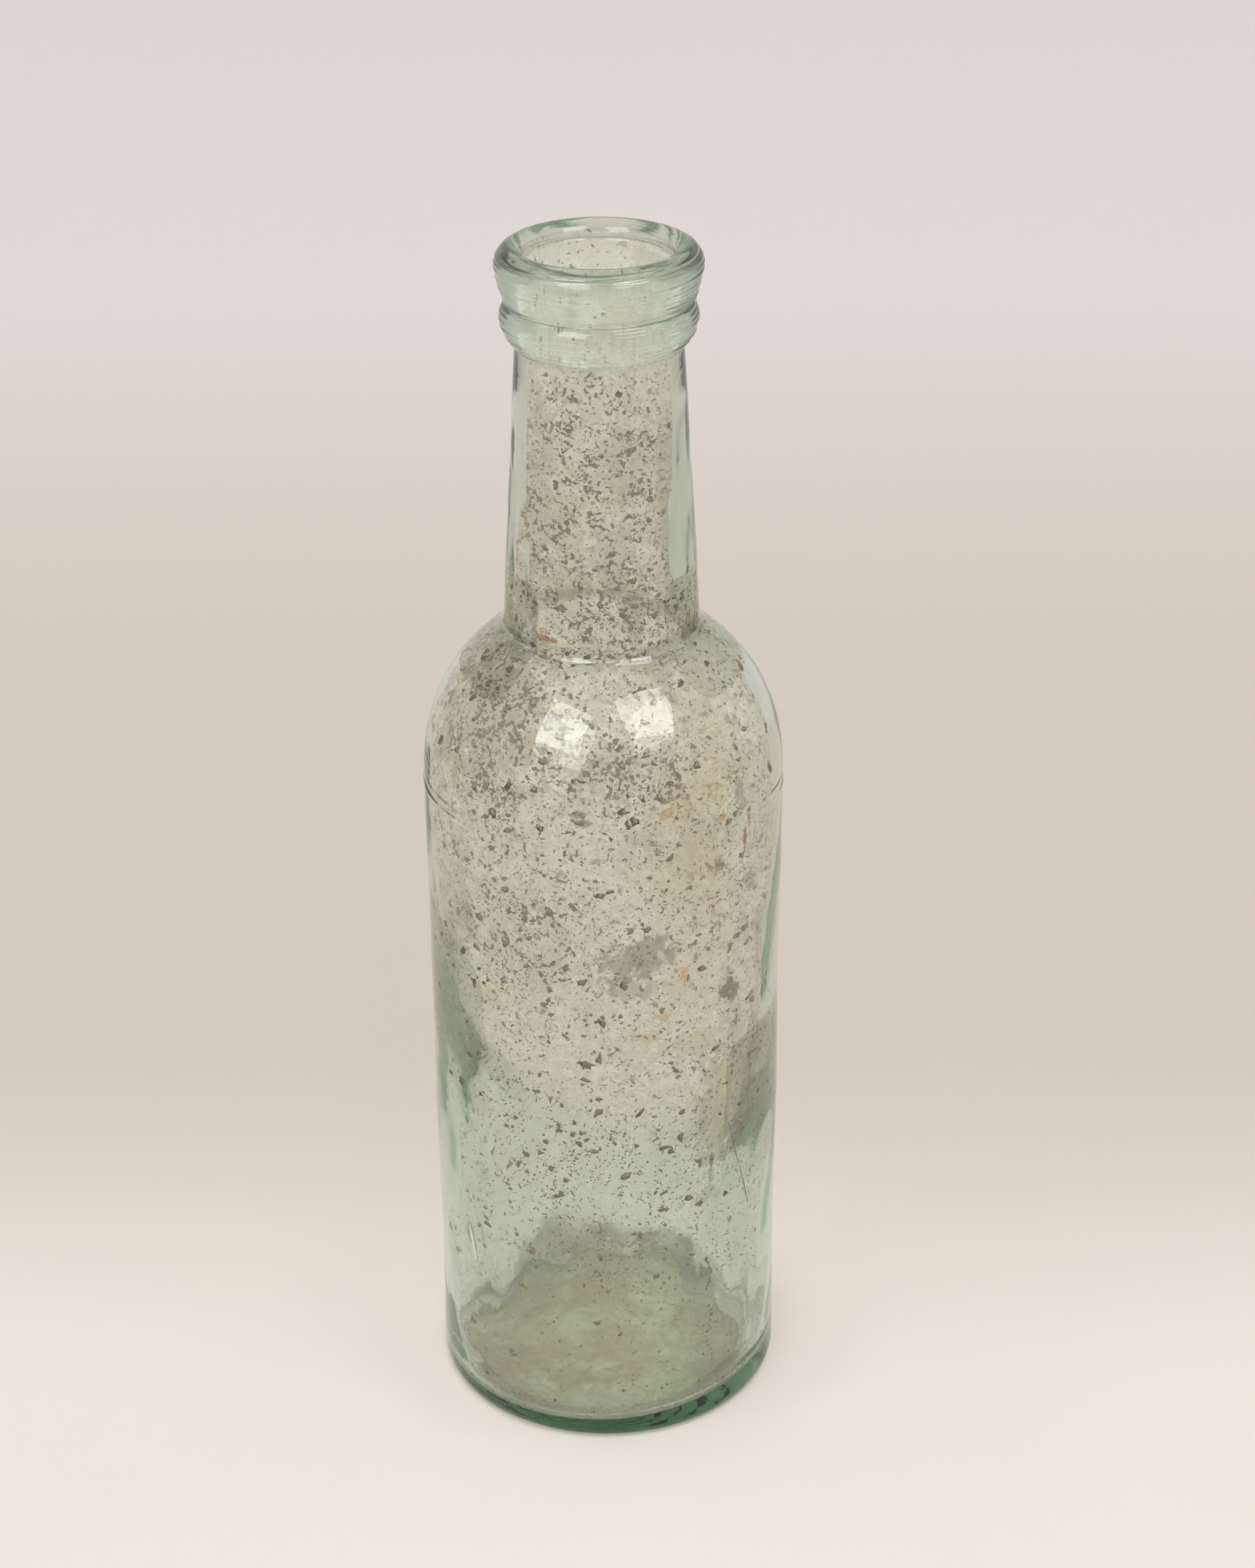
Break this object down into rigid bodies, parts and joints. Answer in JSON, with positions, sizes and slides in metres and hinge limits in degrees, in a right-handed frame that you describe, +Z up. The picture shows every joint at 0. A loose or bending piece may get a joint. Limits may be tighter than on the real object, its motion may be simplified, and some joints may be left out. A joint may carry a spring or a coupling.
{
  "type": "glass bottle",
  "caption": "Round aqua glass bottle with a tapering neck, a laid-on lip over a collar ring, and dried scale inside.",
  "frame": {"origin": "on the bottle's axis, at the level that it stands on", "axes": "+Z up the bottle's axis, from the base to the mouth; X and Y are alike"},
  "size_m": [0.07, 0.07, 0.2415],
  "materials": {
    "aqua_glass": "fire-polished, with seed bubbles and faint mould seams",
    "laid_on_glass": "tooled, with fine rings round the lip",
    "mineral_scale": "chalky film, broken by dark flecks and rust stains",
    "dried_silt": "matt dried dirt"
  },
  "bodies": {
    "root": {"bottle_body": "aqua_glass", "collar": "laid_on_glass", "lip": "laid_on_glass", "wall_scale": "mineral_scale", "heel_silt": "dried_silt", "floor_silt": "dried_silt"}
  },
  "joints": []
}
